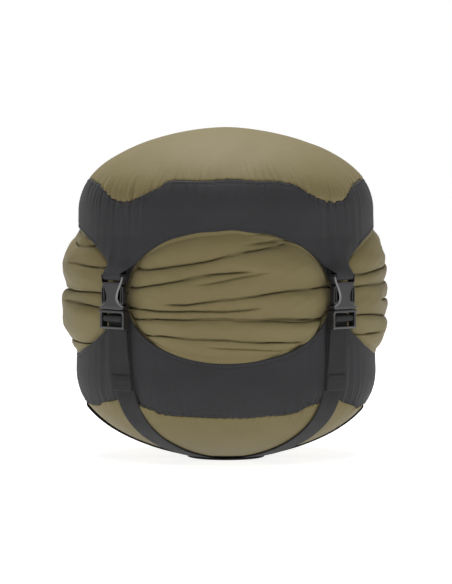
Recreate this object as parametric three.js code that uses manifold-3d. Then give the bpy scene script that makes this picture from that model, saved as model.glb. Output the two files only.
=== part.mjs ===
// A compression stuff sack, packed full and squeezed by four straps with side-release buckles.
// Millimetres, +Z up, origin in the middle of the base. The front is towards -Y, and an azimuth
// of 0 degrees points at the front and grows towards +X. The four straps are at odd multiples
// of 45 degrees, and the four panels between them are alike.
import * as THREE from "three";
import { mergeVertices } from "three/addons/utils/BufferGeometryUtils.js";
import Module from "manifold-3d";

// Overall shape: a domed end panel at each end, and a nearly straight wall between them.
const SACK_HEIGHT = 290;
const LOWER_RADIUS = 131.6;
const UPPER_RADIUS = 129.3;
const LOWER_DOME_TOP = 80;
const UPPER_DOME_BASE = 215;
const DOME_POWER_OUT = 1.7;
const DOME_POWER_UP = 2.3;

// The base, from the ground up: patch, webbing, then the flat middle of the bottom panel.
const PATCH_RADIUS = 34;
const PATCH_THICKNESS = 1.4;
const BASE_FLAT_HEIGHT = 3.4;

// The four straps press a shallow groove into the sack.
const GROOVE_DEPTH = 2.5;
const GROOVE_HALF_ANGLE = 12;
const GROOVE_FADE = 40;

// Seams between the end panels and the bands, which curve towards each strap.
const TOP_SEAM_HEIGHT = 245;
const TOP_SEAM_DIP = 19.5;
const BOTTOM_SEAM_HEIGHT = 45;
const BOTTOM_SEAM_RISE = 15.5;

// The elliptical windows between the petals of the two bands, where the wall bulges out.
const WINDOW_MIDDLE = 147;
const WINDOW_HALF_HEIGHT = 55;
const WINDOW_HALF_ANGLE = 43;
const UPPER_PETAL_TIP = 158;
const LOWER_PETAL_TIP = 132;
const WALL_BULGE = 13.8;
const WALL_TOP = 212;
const WALL_TUCK = 1.2;

// Cloth, webbing and clearance.
const CLOTH = 2;
const GAP = 0.3;
const WEBBING = 1.3;
const WEBBING_WIDTH = 22;
const WEBBING_GAP = 0.35;

// The mouth under the lid: a shoulder, a neck and a hem.
const SHOULDER_RADIUS = 122.5;
const NECK_RADIUS = 56;
const NECK_TOP = 256;
const HEM_HEIGHT = 7;

// Side-release buckles. Heights are along the sack, and depths are distances from its axis.
const BUCKLE_WIDTH = 29;
const BUCKLE_BACK = 132.7;
const BUCKLE_DEPTH = 7.6;
const SHELL_TOP = 165;
const SHELL_MOUTH = 135;
const SHELL_WALL = 1.3;
const SOCKET_TOP = 156;
const SOCKET_HALF_WIDTH = 13.1;
const SLOT_HALF_WIDTH = 11.4;
const HANGER_BAR_BOTTOM = 161.6;
const HANGER_SLOT_BOTTOM = 158;
const SCOOP_MIDDLE = 147.2;
const SHOULDER_BOTTOM = 132.3;
const FRAME_BOTTOM = 117.9;
const FRAME_DEPTH = 6.6;
const LADDER_BAR_TOP = 128.4;
const LADDER_BAR_BOTTOM = 126.2;
const END_BAR_TOP = 120.4;
const TONGUE_TOP = 151;
const PRONG_ROOT = 135.2;
const TAIL_BACK = 131.15;
const TAIL_END = 66;
const TAIL_HEM = 14;
const ANCHOR_TOP = 131;
const HANGER_TOP = 190;

const RING_SEGMENTS = 64;
const NECK_SEGMENTS = 32;
const STRAP_AZIMUTHS = [-45, 45, 135, 225];
// Below its buckle each strap turns a little about the axis, by these angles where it reaches the base.
const STRAP_LEANS = [3.6, -2.6, 3.2, -3.6];
const LEAN_TOP = 118;
const LEAN_FOOT = 38;
const HANDLE_AZIMUTH = 90;

const FINISHES = {
  olive_cloth: { color: 0x83785a, roughness: 0.75, metalness: 0 },
  charcoal_cloth: { color: 0x3d3d40, roughness: 0.75, metalness: 0 },
  webbing: { color: 0x363638, roughness: 0.85, metalness: 0 },
  acetal: { color: 0x2a2a2c, roughness: 0.4, metalness: 0 },
};

const wasm = await Module();
wasm.setup();

const radians = THREE.MathUtils.degToRad;
const lerp = THREE.MathUtils.lerp;

function toSolid(geometry) {
  const bare = geometry.clone();
  bare.deleteAttribute("normal");
  bare.deleteAttribute("uv");
  const merged = mergeVertices(bare, 1e-4);
  return new wasm.Manifold(new wasm.Mesh({
    numProp: 3,
    vertProperties: new Float32Array(merged.attributes.position.array),
    triVerts: new Uint32Array(merged.index.array),
  }));
}

function toGeometry(solid) {
  const mesh = solid.getMesh();
  const geometry = new THREE.BufferGeometry();
  geometry.setAttribute("position", new THREE.BufferAttribute(new Float32Array(mesh.vertProperties), 3));
  geometry.setIndex(new THREE.BufferAttribute(new Uint32Array(mesh.triVerts), 1));
  geometry.computeVertexNormals();
  return geometry;
}

// ---- The shape of the sack ----

// Degrees from the middle of the nearest panel: 0 there, and 45 at a strap.
function panelAngle(azimuth) {
  const turned = THREE.MathUtils.euclideanModulo(azimuth, 90);
  return Math.min(turned, 90 - turned);
}

function domeRadius(rise, radius, height) {
  return radius * (1 - (rise / height) ** DOME_POWER_UP) ** (1 / DOME_POWER_OUT);
}

function domeRise(r, radius, height) {
  return height * (1 - (r / radius) ** DOME_POWER_OUT) ** (1 / DOME_POWER_UP);
}

// Radius of the sack's outside at a height, before the straps press into it.
function bodyRadius(z) {
  if (z < LOWER_DOME_TOP) {
    return domeRadius(LOWER_DOME_TOP - z, LOWER_RADIUS, LOWER_DOME_TOP);
  }
  if (z > UPPER_DOME_BASE) {
    return domeRadius(z - UPPER_DOME_BASE, UPPER_RADIUS, SACK_HEIGHT - UPPER_DOME_BASE);
  }
  return THREE.MathUtils.mapLinear(z, LOWER_DOME_TOP, UPPER_DOME_BASE, LOWER_RADIUS, UPPER_RADIUS);
}

function strapGroove(azimuth, z) {
  const across = Math.exp(-(((45 - panelAngle(azimuth)) / GROOVE_HALF_ANGLE) ** 2));
  const lower = THREE.MathUtils.smoothstep(z, BOTTOM_SEAM_HEIGHT - 10, BOTTOM_SEAM_HEIGHT - 10 + GROOVE_FADE);
  const upper = 1 - THREE.MathUtils.smoothstep(z, TOP_SEAM_HEIGHT + 5 - GROOVE_FADE, TOP_SEAM_HEIGHT + 5);
  return GROOVE_DEPTH * across * lower * upper;
}

function outsideRadius(azimuth, z) {
  return bodyRadius(z) - strapGroove(azimuth, z);
}

// The top seam drops slowly, then quickly, and is nearly level across each strap.
function topSeam(azimuth) {
  const away = panelAngle(azimuth);
  const bend = 0.5 * (away / 45) ** 1.6 + 0.5 * THREE.MathUtils.smoothstep(away, 25, 41);
  return TOP_SEAM_HEIGHT - TOP_SEAM_DIP * bend;
}

function bottomSeam(azimuth) {
  return BOTTOM_SEAM_HEIGHT + BOTTOM_SEAM_RISE * (panelAngle(azimuth) / 45) ** 3;
}

function windowReach(azimuth) {
  const across = Math.min(panelAngle(azimuth) / WINDOW_HALF_ANGLE, 1);
  return WINDOW_HALF_HEIGHT * Math.sqrt(1 - across ** 2);
}

function windowTop(azimuth) {
  return Math.max(WINDOW_MIDDLE + windowReach(azimuth), UPPER_PETAL_TIP);
}

function windowBottom(azimuth) {
  return Math.min(WINDOW_MIDDLE - windowReach(azimuth), LOWER_PETAL_TIP);
}

// ---- Cloth pieces that go right round the sack ----

// One closed shell round the axis. outlineAt(azimuth) gives its closed outline as [r, z] points.
function shellAround(outlineAt) {
  const start = outlineAt(0).map(([r, z]) => new THREE.Vector2(r, z));
  const shell = new THREE.LatheGeometry(start, RING_SEGMENTS);
  const position = shell.attributes.position;
  for (let segment = 0; segment <= RING_SEGMENTS; segment++) {
    const azimuth = (segment % RING_SEGMENTS) * (360 / RING_SEGMENTS);
    const [east, south] = [Math.sin(radians(azimuth)), Math.cos(radians(azimuth))];
    outlineAt(azimuth).forEach(([r, z], row) => {
      position.setXYZ(segment * start.length + row, r * east, -r * south, z);
    });
  }
  return shell;
}

function band(lowAt, highAt) {
  const outerRows = [0, 0.25, 0.5, 0.75, 1];
  const innerRows = [1, 0.67, 0.33, 0];
  return shellAround((azimuth) => {
    const heightAt = (share) => lerp(lowAt(azimuth), highAt(azimuth), share);
    const outer = outerRows.map(heightAt).map((z) => [outsideRadius(azimuth, z), z]);
    const inner = innerRows.map(heightAt).map((z) => [outsideRadius(azimuth, z) - CLOTH, z]);
    return [...outer, ...inner, outer[0]];
  });
}

// The wall lies under the bands, and bulges out between the edges of each window.
function sideWall() {
  const insideBands = CLOTH + GAP;
  const windowRows = [0, 0.12, 0.32, 0.5, 0.68, 0.88, 1];
  return shellAround((azimuth) => {
    const [low, high] = [windowBottom(azimuth), windowTop(azimuth)];
    const bulge = WALL_BULGE * (1 - (panelAngle(azimuth) / 45) ** 3);
    const face = windowRows.map((share) => {
      const z = lerp(low, high, share);
      return [outsideRadius(azimuth, z) - insideBands + bulge * (1 - Math.abs(2 * share - 1) ** 4), z];
    });
    const foot = bottomSeam(azimuth) + CLOTH;
    face.unshift([outsideRadius(azimuth, foot) - insideBands - WALL_TUCK, foot]);
    face.push([outsideRadius(azimuth, WALL_TOP) - insideBands - WALL_TUCK, WALL_TOP]);
    const back = face.map(([r, z]) => [r - CLOTH, z]).reverse();
    return [...face, ...back, face[0]];
  });
}

// One face of a domed end panel from the middle to its seam, as points [r, rise above the dome's base].
function domeFace(azimuth, seamRise, radius, height, shares) {
  const rim = domeRadius(seamRise, radius, height);
  return shares.map((share) => [share * rim, domeRise(share * rim, radius, height)]);
}

const DOME_OUTER_ROWS = [0, 0.25, 0.5, 0.7, 0.84, 0.94, 1];
const DOME_INNER_ROWS = [0, 0.45, 0.8, 1];

function topPanel() {
  const height = SACK_HEIGHT - UPPER_DOME_BASE;
  const place = (azimuth) => ([r, rise]) => {
    const z = UPPER_DOME_BASE + rise;
    return [Math.max(r - strapGroove(azimuth, z), 0), z];
  };
  return shellAround((azimuth) => {
    const rise = topSeam(azimuth) - UPPER_DOME_BASE;
    const outer = domeFace(azimuth, rise, UPPER_RADIUS, height, DOME_OUTER_ROWS);
    const inner = domeFace(azimuth, rise, UPPER_RADIUS - CLOTH, height - CLOTH, DOME_INNER_ROWS);
    return [...inner, ...outer.reverse()].map(place(azimuth));
  });
}

function bottomPanel() {
  const place = (azimuth, floor) => ([r, rise]) => {
    const z = Math.max(LOWER_DOME_TOP - rise, floor);
    return [Math.max(r - strapGroove(azimuth, z), 0), z];
  };
  return shellAround((azimuth) => {
    const rise = LOWER_DOME_TOP - bottomSeam(azimuth);
    const outer = domeFace(azimuth, rise, LOWER_RADIUS, LOWER_DOME_TOP, DOME_OUTER_ROWS);
    const inner = domeFace(azimuth, rise, LOWER_RADIUS - CLOTH, LOWER_DOME_TOP - CLOTH, DOME_INNER_ROWS);
    const outside = outer.map(place(azimuth, BASE_FLAT_HEIGHT));
    const inside = inner.map(place(azimuth, BASE_FLAT_HEIGHT + CLOTH));
    return [...outside, ...inside.reverse()];
  });
}

// ---- The mouth, hidden by the lid ----

function turned(points) {
  const outline = points.map(([r, z]) => new THREE.Vector2(r, z));
  const geometry = new THREE.LatheGeometry([...outline, outline[0]], NECK_SEGMENTS);
  return geometry.rotateX(Math.PI / 2);
}

function mouthCollar() {
  const shoulderFoot = WALL_TOP + 2 * GAP;
  const neckFoot = NECK_TOP - 17;
  return turned([
    [SHOULDER_RADIUS, shoulderFoot],
    [SHOULDER_RADIUS, shoulderFoot + 5],
    [SHOULDER_RADIUS - 6, neckFoot - 13],
    [SHOULDER_RADIUS - 24, neckFoot - 8],
    [NECK_RADIUS + 8, neckFoot - 2],
    [NECK_RADIUS + 1, neckFoot + 2],
    [NECK_RADIUS, NECK_TOP],
    [NECK_RADIUS - CLOTH, NECK_TOP],
    [NECK_RADIUS - 1, neckFoot + 1],
    [NECK_RADIUS + 7, neckFoot - 2 - CLOTH],
    [SHOULDER_RADIUS - 25, neckFoot - 8 - CLOTH],
    [SHOULDER_RADIUS - 7, neckFoot - 13 - CLOTH],
    [SHOULDER_RADIUS - CLOTH, shoulderFoot + 4],
    [SHOULDER_RADIUS - CLOTH, shoulderFoot],
  ]);
}

function mouthHem() {
  const [foot, top] = [NECK_TOP + GAP, NECK_TOP + GAP + HEM_HEIGHT];
  const [inside, outside] = [NECK_RADIUS - CLOTH, NECK_RADIUS + 1.5];
  return turned([
    [outside - 1, foot],
    [outside, foot + 1.5],
    [outside, top - 1.5],
    [outside - 1, top],
    [inside, top],
    [inside, foot],
  ]);
}

// ---- Webbing ----

// How far a strap has turned about the axis at a height.
function leanAt(lean, z) {
  return lean * (1 - THREE.MathUtils.smoothstep(z, LEAN_FOOT, LEAN_TOP));
}

// Turns each level of a strap about the axis by its lean there.
function leaning(strip, lean) {
  const position = strip.attributes.position;
  const point = new THREE.Vector3();
  const axis = new THREE.Vector3(0, 0, 1);
  for (let i = 0; i < position.count; i++) {
    point.fromBufferAttribute(position, i);
    point.applyAxisAngle(axis, radians(leanAt(lean, point.z)));
    position.setXYZ(i, point.x, point.y, point.z);
  }
  return strip;
}

// How far out a flat strap lies at a height, so that its middle and both edges clear the sack.
function restRadius(azimuth, lean, z) {
  const middle = azimuth + leanAt(lean, z);
  const reach = bodyRadius(z);
  const across = [-1, 0, 1].map((side) => side * Math.min(WEBBING_WIDTH / 2, 0.5 * reach));
  return Math.max(...across.map((x) => {
    const skin = outsideRadius(middle + THREE.MathUtils.radToDeg(x / reach), z);
    return Math.sqrt(skin ** 2 - x ** 2);
  }));
}

// Points that follow the sack's outside under a strap, a small offset away from it, from a
// start radius under the base up to a height.
function skinLine(azimuth, lean, startRadius, topHeight, offset) {
  const line = [[startRadius, BASE_FLAT_HEIGHT]];
  const curveTop = Math.min(topHeight, LOWER_DOME_TOP);
  const steps = 11;
  for (let step = 0; step <= steps; step++) {
    const share = 1 - Math.cos((step / steps) * (Math.PI / 2));
    line.push([0, lerp(BASE_FLAT_HEIGHT, curveTop, share)]);
  }
  if (topHeight > LOWER_DOME_TOP) {
    line.push([0, 92], [0, 105], [0, LEAN_TOP], [0, topHeight]);
  }
  const path = line.map(([r, z], i) => (i === 0 ? [r, z] : [restRadius(azimuth, lean, z), z]));
  return path.map(([r, z], i) => {
    const [before, after] = [path[Math.max(i - 1, 0)], path[Math.min(i + 1, path.length - 1)]];
    const [dr, dz] = i < 2 ? [1, 0] : [after[0] - before[0], after[1] - before[1]];
    const length = Math.hypot(dr, dz);
    return [r + (offset * dz) / length, z - (offset * dr) / length];
  });
}

// A flat strip of webbing whose side view is an outline of [distance out, height] points.
function webbingStrip(outline, hole = null) {
  const side = new THREE.Shape(outline.map(([out, z]) => new THREE.Vector2(out, z)));
  if (hole) {
    side.holes.push(new THREE.Path(hole.map(([out, z]) => new THREE.Vector2(out, z))));
  }
  const strip = new THREE.ExtrudeGeometry(side, { depth: WEBBING_WIDTH, bevelEnabled: false });
  return strip.rotateX(Math.PI / 2).rotateZ(-Math.PI / 2).translate(WEBBING_WIDTH / 2, 0, 0);
}

function anchorStrap(lean) {
  const startRadius = PATCH_RADIUS - 6;
  const inner = skinLine(45, lean, startRadius, ANCHOR_TOP, WEBBING_GAP);
  const outer = skinLine(45, lean, startRadius, ANCHOR_TOP, WEBBING_GAP + WEBBING);
  return leaning(webbingStrip([...inner, ...outer.reverse()]), lean);
}

// The handle runs across the base from one side seam to the other, under the patch.
function grabHandle() {
  const top = BOTTOM_SEAM_HEIGHT - 1;
  const halves = [WEBBING_GAP, WEBBING_GAP + WEBBING].map((offset) => {
    return skinLine(HANDLE_AZIMUTH, 0, 1, top, offset);
  });
  const [inner, outer] = halves.map((half) => {
    return [...half.map(([r, z]) => [-r, z]).reverse(), ...half];
  });
  return webbingStrip([...inner, ...outer.reverse()]);
}

// The tail hangs outside the anchor strap, from the ladder bar to its folded hem.
function tailStrap(lean) {
  const front = TAIL_BACK + WEBBING;
  const barBack = 131.5;
  const barFront = BUCKLE_BACK + FRAME_DEPTH - 1.1;
  const loopTop = LADDER_BAR_TOP + GAP;
  const loopFoot = LADDER_BAR_BOTTOM - GAP;
  const frontRows = [86, 92, 105, LEAN_TOP];
  const backRows = [LEAN_TOP, 105, 92, 86, 80, 73];
  return leaning(webbingStrip([
    [TAIL_BACK, TAIL_END],
    [front + WEBBING, TAIL_END],
    [front + WEBBING, TAIL_END + TAIL_HEM],
    [front, TAIL_END + TAIL_HEM + 0.6],
    ...frontRows.map((z) => [front, z]),
    [front, loopFoot - WEBBING],
    [barFront + WEBBING - 0.4, loopFoot - WEBBING],
    [barFront + WEBBING, loopFoot - WEBBING + 0.4],
    [barFront + WEBBING, loopTop + WEBBING - 0.4],
    [barFront + WEBBING - 0.4, loopTop + WEBBING],
    [barBack, loopTop + WEBBING],
    [barBack, loopTop],
    [barFront, loopTop],
    [barFront, loopFoot],
    [TAIL_BACK, loopFoot],
    ...backRows.map((z) => [TAIL_BACK, z]),
  ]), lean);
}

// The loop sewn to the tip of an upper petal, through the slot at the top of the buckle.
function hangerLoop() {
  const back = 128;
  const shellBack = BUCKLE_BACK - 0.4;
  const barBack = BUCKLE_BACK + 1.1;
  const barFront = BUCKLE_BACK + 5.8;
  const loopFoot = HANGER_BAR_BOTTOM - GAP;
  const loopTop = SHELL_TOP + GAP;
  const outline = [
    [back, HANGER_TOP],
    [back, loopTop + 6],
    [shellBack, loopFoot - WEBBING],
    [barFront + WEBBING, loopFoot - WEBBING],
    [barFront + WEBBING, loopTop + WEBBING],
    [barBack + 0.5, loopTop + WEBBING],
    [back + 2 * WEBBING, loopTop + 8],
    [back + 2 * WEBBING, HANGER_TOP],
  ];
  const barHole = [[barBack, loopFoot], [barFront, loopFoot], [barFront, loopTop], [barBack, loopTop]];
  return webbingStrip(outline, barHole);
}

// ---- Buckles, drawn as seen from the front, then given their depth ----

function plate(shape, back, depth) {
  const geometry = new THREE.ExtrudeGeometry(shape, { depth, bevelEnabled: false, curveSegments: 5 });
  return geometry.rotateX(Math.PI / 2).translate(0, -back, 0);
}

function block(halfWidth, low, high, back, front) {
  const geometry = new THREE.BoxGeometry(2 * halfWidth, front - back, high - low);
  return toSolid(geometry.translate(0, -(back + front) / 2, (low + high) / 2));
}

function roundedPlate(halfWidth, low, high, corner, back, depth) {
  const shape = new THREE.Shape();
  const quarter = Math.PI / 2;
  shape.absarc(halfWidth - corner, low + corner, corner, -quarter, 0);
  shape.absarc(halfWidth - corner, high - corner, corner, 0, quarter);
  shape.absarc(-halfWidth + corner, high - corner, corner, quarter, 2 * quarter);
  shape.absarc(-halfWidth + corner, low + corner, corner, 2 * quarter, 3 * quarter);
  return toSolid(plate(shape, back, depth));
}

// A scoop out of the shell's side, which lets the fingers reach a spring arm.
function sideScoop(side) {
  const shape = new THREE.Shape();
  shape.absellipse(side * 16.5, SCOOP_MIDDLE, 5, 8, 0, 2 * Math.PI);
  return toSolid(plate(shape, BUCKLE_BACK - 1, BUCKLE_DEPTH + 2));
}

function femaleShell() {
  const front = BUCKLE_BACK + BUCKLE_DEPTH;
  const socket = block(
    SOCKET_HALF_WIDTH, SHELL_MOUTH - 1, SOCKET_TOP, BUCKLE_BACK + SHELL_WALL, front - SHELL_WALL);
  const slot = block(
    SLOT_HALF_WIDTH, HANGER_SLOT_BOTTOM, HANGER_BAR_BOTTOM, BUCKLE_BACK - 1, front + 1);
  const barBack = block(
    SLOT_HALF_WIDTH, HANGER_BAR_BOTTOM - 1, SHELL_TOP + 1, BUCKLE_BACK - 1, BUCKLE_BACK + 1.4);
  const barFront = block(
    SLOT_HALF_WIDTH, HANGER_BAR_BOTTOM - 1, SHELL_TOP + 1, BUCKLE_BACK + 5.5, front + 1);
  const shell = roundedPlate(
    BUCKLE_WIDTH / 2, SHELL_MOUTH, SHELL_TOP, 2, BUCKLE_BACK, BUCKLE_DEPTH);
  const cuts = [socket, slot, barBack, barFront, sideScoop(-1), sideScoop(1)];
  return toGeometry(cuts.reduce((body, cut) => body.subtract(cut), shell));
}

function maleFrame() {
  const back = BUCKLE_BACK;
  const frameFront = back + FRAME_DEPTH;
  const ladder = roundedPlate(BUCKLE_WIDTH / 2, FRAME_BOTTOM, SHOULDER_BOTTOM + 2, 1.5, back, FRAME_DEPTH);
  const shoulder = roundedPlate(
    BUCKLE_WIDTH / 2, SHOULDER_BOTTOM, SHELL_MOUTH - GAP, 0.8, back, BUCKLE_DEPTH);
  const tongue = block(3.2, SHOULDER_BOTTOM + 1, TONGUE_TOP, back + 2.5, back + 5.1);
  const upperSlot = block(SLOT_HALF_WIDTH, LADDER_BAR_TOP, SHOULDER_BOTTOM, back - 1, frameFront + 1);
  const lowerSlot = block(SLOT_HALF_WIDTH, END_BAR_TOP, LADDER_BAR_BOTTOM, back - 1, frameFront + 1);
  const barFront = block(
    SLOT_HALF_WIDTH, LADDER_BAR_BOTTOM - 1, LADDER_BAR_TOP + 1, back + 5.2, frameFront + 1);
  const barBack = block(
    SLOT_HALF_WIDTH, LADDER_BAR_BOTTOM - 1, LADDER_BAR_TOP + 1, back - 1, back + 1.2);
  const cuts = [upperSlot, lowerSlot, barFront, barBack];
  return toGeometry(cuts.reduce((body, cut) => body.subtract(cut), ladder.add(shoulder).add(tongue)));
}

// One spring arm, ending in the pad that the fingers pinch. side is 1 on the right, -1 on the left.
function prong(side) {
  const points = [
    [8.3, 0], [11.2, 0], [11.6, 5.3], [12.8, 6.8], [12.8, 15.3], [11.6, 19],
    [9.4, 20.2], [8.6, 19], [8.6, 11.8], [9.2, 8.3], [8.6, 3.8],
  ];
  const shape = new THREE.Shape(points.map(([x, rise]) => new THREE.Vector2(side * x, PRONG_ROOT + rise)));
  return plate(shape, BUCKLE_BACK + 1.9, 3.8);
}

function basePatch() {
  const disc = new THREE.CylinderGeometry(PATCH_RADIUS, PATCH_RADIUS, PATCH_THICKNESS, 40);
  return disc.rotateX(Math.PI / 2).translate(0, 0, PATCH_THICKNESS / 2);
}

// ---- The assembly ----

function piece(name, finish, geometry) {
  const mesh = new THREE.Mesh(geometry, new THREE.MeshStandardMaterial(FINISHES[finish]));
  mesh.name = name;
  return mesh;
}

const sack = new THREE.Group();
sack.add(
  piece("bottom_panel", "olive_cloth", bottomPanel()),
  piece("lower_band", "charcoal_cloth", band((azimuth) => bottomSeam(azimuth) + GAP, windowBottom)),
  piece("side_wall", "olive_cloth", sideWall()),
  piece("base_patch", "charcoal_cloth", basePatch()),
  piece("grab_handle", "webbing", grabHandle().rotateZ(radians(HANDLE_AZIMUTH))),
  piece("mouth_collar", "olive_cloth", mouthCollar()),
  piece("mouth_hem", "charcoal_cloth", mouthHem()),
  piece("top_panel", "olive_cloth", topPanel()),
  piece("upper_band", "charcoal_cloth", band(windowTop, (azimuth) => topSeam(azimuth) - GAP)),
);

STRAP_AZIMUTHS.forEach((azimuth, index) => {
  const number = index + 1;
  const strap = new THREE.Group();
  strap.add(
    piece(`anchor_strap_${number}`, "webbing", anchorStrap(STRAP_LEANS[index])),
    piece(`tail_strap_${number}`, "webbing", tailStrap(STRAP_LEANS[index])),
    piece(`hanger_loop_${number}`, "webbing", hangerLoop()),
    piece(`female_shell_${number}`, "acetal", femaleShell()),
    piece(`male_frame_${number}`, "acetal", maleFrame()),
    piece(`prong_left_${number}`, "acetal", prong(-1)),
    piece(`prong_right_${number}`, "acetal", prong(1)),
  );
  strap.rotation.z = radians(azimuth);
  sack.add(strap);
});

export default sack;
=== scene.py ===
"""Looks for a compression stuff sack: cloth panels, webbing straps and moulded buckles.

Every shape is worked out in millimetres in the row's frame (+Z up, front towards -Y) from the
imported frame's own sizes, then turned into metres when its mesh is made. An azimuth of 0 degrees
points at the front and grows towards +X. The straps are at odd multiples of 45 degrees.
"""
import math

import bmesh
import bpy
import numpy as np
from mathutils import Matrix, Vector


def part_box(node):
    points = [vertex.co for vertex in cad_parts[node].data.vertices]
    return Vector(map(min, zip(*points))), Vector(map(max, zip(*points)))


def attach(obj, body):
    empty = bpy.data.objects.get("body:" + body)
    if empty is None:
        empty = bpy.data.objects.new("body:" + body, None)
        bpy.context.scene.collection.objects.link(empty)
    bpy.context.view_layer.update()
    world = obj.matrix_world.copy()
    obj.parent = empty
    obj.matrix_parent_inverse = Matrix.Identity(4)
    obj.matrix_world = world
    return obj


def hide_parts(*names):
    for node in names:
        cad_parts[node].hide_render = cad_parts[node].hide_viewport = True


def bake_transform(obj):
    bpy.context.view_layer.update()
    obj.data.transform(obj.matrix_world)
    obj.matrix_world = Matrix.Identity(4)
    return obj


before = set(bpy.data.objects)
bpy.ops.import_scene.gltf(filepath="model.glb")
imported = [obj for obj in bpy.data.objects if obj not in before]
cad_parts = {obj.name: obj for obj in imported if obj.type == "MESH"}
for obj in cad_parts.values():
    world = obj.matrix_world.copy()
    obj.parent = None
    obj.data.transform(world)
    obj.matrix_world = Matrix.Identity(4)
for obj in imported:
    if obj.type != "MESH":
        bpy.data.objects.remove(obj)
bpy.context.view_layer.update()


def foot_of(node):
    """The lowest height of a CAD node, in millimetres."""
    return 1000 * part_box(node)[0][2]


def top_of(node):
    """The highest height of a CAD node, in millimetres."""
    return 1000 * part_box(node)[1][2]


def reach_of(node):
    """How far a CAD node reaches along X, in millimetres."""
    return 1000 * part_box(node)[1][0]


# ---- Sizes from the frame, in millimetres ----
SACK_HEIGHT = top_of("top_panel")
LOWER_RADIUS = reach_of("lower_band")
UPPER_RADIUS = reach_of("upper_band")
BOTTOM_SEAM = foot_of("lower_band") - 0.3
TOP_SEAM = top_of("upper_band") + 0.3
LOWER_TIP = top_of("lower_band")
UPPER_TIP = foot_of("upper_band")
WALL_TOP = top_of("side_wall")
WALL_REACH = reach_of("side_wall")
PATCH_RADIUS = reach_of("base_patch")
PATCH_TOP = top_of("base_patch")
COLLAR_RADIUS = reach_of("mouth_collar")
COLLAR_FOOT, NECK_TOP = foot_of("mouth_collar"), top_of("mouth_collar")
NECK_RADIUS = reach_of("mouth_hem") - 1.5
HEM_FOOT, HEM_TOP = foot_of("mouth_hem"), top_of("mouth_hem")
SHELL_MOUTH, SHELL_TOP = foot_of("female_shell_1"), top_of("female_shell_1")
FRAME_FOOT = foot_of("male_frame_1")
TAIL_FOOT = foot_of("tail_strap_1")
ANCHOR_TOP = top_of("anchor_strap_1")

# ---- Shape of the sack, as the CAD model has it ----
LOWER_DOME_TOP = 80
UPPER_DOME_BASE = 215
POWER_OUT, POWER_UP = 1.7, 2.3
BASE_FLAT = PATCH_TOP + 2.0
GROOVE_DEPTH, GROOVE_ANGLE = 2.5, 12
TOP_SEAM_DIP, BOTTOM_SEAM_RISE = 19.5, 15.5
WINDOW_MIDDLE, WINDOW_HALF_HEIGHT, WINDOW_HALF_ANGLE = 147, 55, 43
WALL_SET_BACK = 2.3
WEBBING_WIDTH, WEBBING = 22, 1.3
BUCKLE_BACK = 132.7
TAIL_MIDDLE = 131.8
STRAPS = {1: -45, 2: 45, 3: 135, 4: 225}
# How far each strap has turned about the axis where it goes under the base, in degrees.
LEANS = {1: 3.6, 2: -2.6, 3: 3.2, 4: -3.6}
LEAN_TOP, LEAN_FOOT = 118, 38

AROUND = 720
PER_RADIAN = 180 / math.pi


# ---- Numbers ----
def smoothstep(x, low, high):
    t = np.clip((np.asarray(x, float) - low) / (high - low), 0, 1)
    return t * t * (3 - 2 * t)


def mix(a, b, share):
    return a + (b - a) * share


def bell(x, width):
    return np.exp(-((x / width) ** 2))


def turn_between(azimuth, place):
    """The angle from a place to an azimuth, from -180 to 180 degrees."""
    return np.mod(azimuth - place + 180, 360) - 180


def ripples(azimuth, z, seed, waves, turns, pitch):
    """A smooth random field, about -1 to 1, that closes on itself round the sack.

    turns is the range of waves round the circle, and pitch the range of wave lengths in z.
    """
    rng = np.random.default_rng(seed)
    total = 0
    for _ in range(waves):
        round_count = int(rng.integers(turns[0], turns[1] + 1))
        length = rng.uniform(*pitch) * rng.choice([-1, 1])
        phase = rng.uniform(0, 2 * math.pi)
        total = total + np.cos(np.radians(azimuth) * round_count + 2 * math.pi * z / length + phase)
    return total / math.sqrt(waves) / 1.4


# ---- The sack's outside ----
def panel_angle(azimuth):
    turned = np.mod(azimuth, 90)
    return np.minimum(turned, 90 - turned)


def dome_radius(rise, radius, height):
    return radius * np.clip(1 - np.clip(rise / height, 0, 1) ** POWER_UP, 0, 1) ** (1 / POWER_OUT)


def dome_rise(r, radius, height):
    return height * np.clip(1 - np.clip(r / radius, 0, 1) ** POWER_OUT, 0, 1) ** (1 / POWER_UP)


def body_radius(z):
    z = np.asarray(z, float)
    low = dome_radius(LOWER_DOME_TOP - z, LOWER_RADIUS, LOWER_DOME_TOP)
    high = dome_radius(z - UPPER_DOME_BASE, UPPER_RADIUS, SACK_HEIGHT - UPPER_DOME_BASE)
    share = (z - LOWER_DOME_TOP) / (UPPER_DOME_BASE - LOWER_DOME_TOP)
    middle = mix(LOWER_RADIUS, UPPER_RADIUS, share)
    return np.where(z < LOWER_DOME_TOP, low, np.where(z > UPPER_DOME_BASE, high, middle))


def strap_groove(azimuth, z):
    across = bell(45 - panel_angle(azimuth), GROOVE_ANGLE)
    lower = smoothstep(z, BOTTOM_SEAM - 10, BOTTOM_SEAM + 30)
    upper = 1 - smoothstep(z, TOP_SEAM - 35, TOP_SEAM + 5)
    return GROOVE_DEPTH * across * lower * upper


def outside(azimuth, z):
    return body_radius(z) - strap_groove(azimuth, z)


def pleat_steps(azimuth, pleats):
    """Small pleats along a seam: each rises quickly at its place and fades over 14 degrees."""
    total = 0
    for place, size in pleats:
        past = turn_between(azimuth, place)
        total = total + size * smoothstep(past, 0, 1.6) * (1 - smoothstep(past, 2, 14))
    return total


# Pleats as (azimuth, size in millimetres)
TOP_PLEATS = [
    (-27.5, 2.6), (-58, 1.4), (29, -1.3), (52, 1.6), (118, 1.7), (152, -1.4), (-112, 1.5), (-160, 1.6),
]
BOTTOM_PLEATS = [
    (-31, -2.0), (30, 1.9), (38, 1.4), (64, -1.5), (121, -1.8), (150, 1.7), (-62, 1.4), (-128, -1.7),
]
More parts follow.
